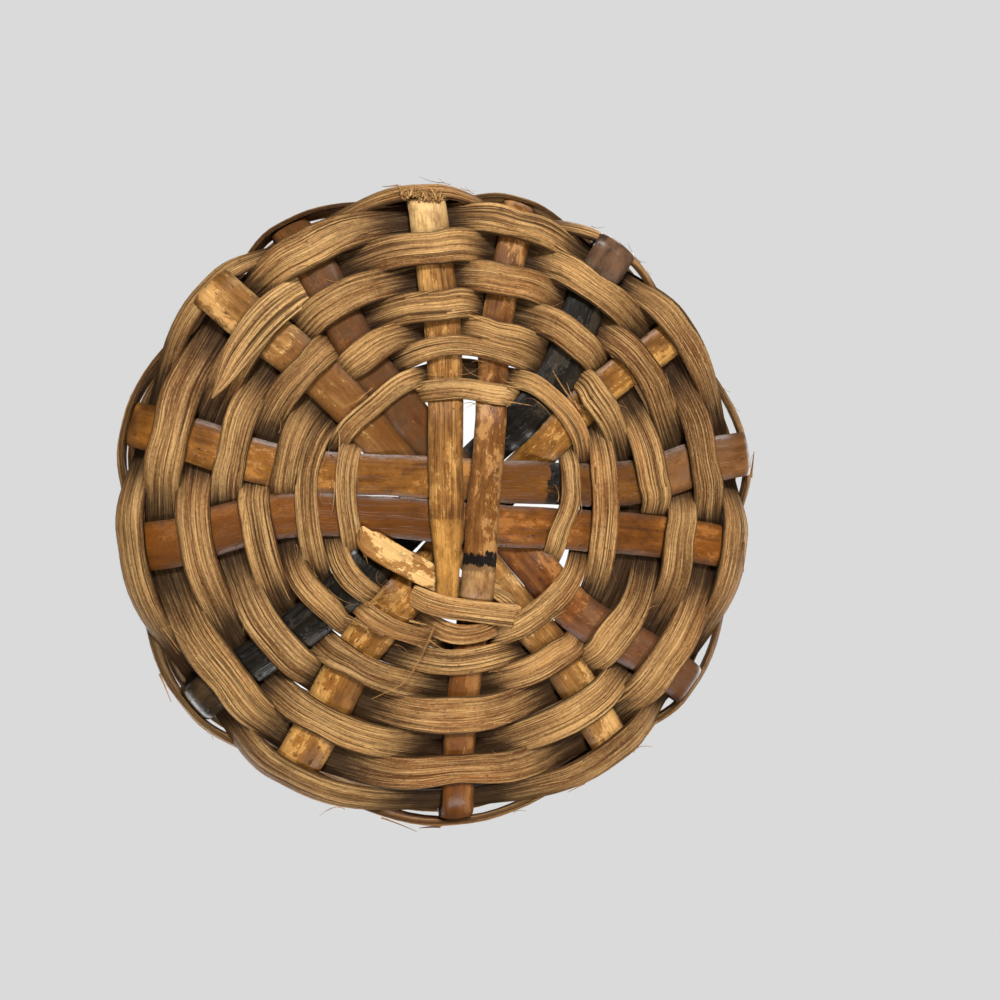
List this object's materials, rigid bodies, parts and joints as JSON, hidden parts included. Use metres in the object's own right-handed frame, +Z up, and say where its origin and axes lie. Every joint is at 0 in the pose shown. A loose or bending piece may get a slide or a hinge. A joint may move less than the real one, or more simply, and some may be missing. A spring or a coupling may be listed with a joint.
{
  "type": "wicker planter basket",
  "caption": "Round woven basket with an open mouth: split wood stakes cross under the base and turn up into a wall of flat cane, closed by a lashed rim.",
  "frame": {"origin": "middle of the base, on the surface that the basket stands on", "axes": "+Z up out of the mouth; +X to the right and -Y to the top of the base as it is seen from below; the half stick runs up the -Y side"},
  "size_m": [0.2523, 0.2524, 0.165],
  "materials": {
    "straw_split_wood": "dry, fibrous",
    "red_brown_wood": "smooth, satin",
    "brown_wood": "smooth, satin",
    "orange_brown_wood": "smooth, satin",
    "dark_red_wood": "smooth, satin",
    "golden_wood": "smooth, satin",
    "charcoal_wood": "dark bark, satin",
    "flat_cane": "ribbed, dry",
    "hoop_wood": "smooth, dry"
  },
  "bodies": {
    "root": {"stake_upright_half": "straw_split_wood", "stake_upright_long": "red_brown_wood", "stake_cross_upper": "brown_wood", "stake_cross_lower": "orange_brown_wood", "stake_diagonal_red": "dark_red_wood", "stake_diagonal_straw": "straw_split_wood", "stake_diagonal_dark": "charcoal_wood", "stake_diagonal_gold": "golden_wood", "start_round_1": "flat_cane", "start_round_2": "flat_cane", "start_round_3": "flat_cane", "weaver_01": "flat_cane", "weaver_02": "flat_cane", "weaver_03": "flat_cane", "weaver_04": "flat_cane", "weaver_05": "flat_cane", "weaver_06": "flat_cane", "weaver_07": "flat_cane", "weaver_08": "flat_cane", "weaver_09": "flat_cane", "weaver_10": "flat_cane", "weaver_11": "flat_cane", "weaver_12": "flat_cane", "rim_outer_hoop": "hoop_wood", "rim_inner_hoop": "hoop_wood", "rim_lashing": "flat_cane"}
  },
  "joints": []
}
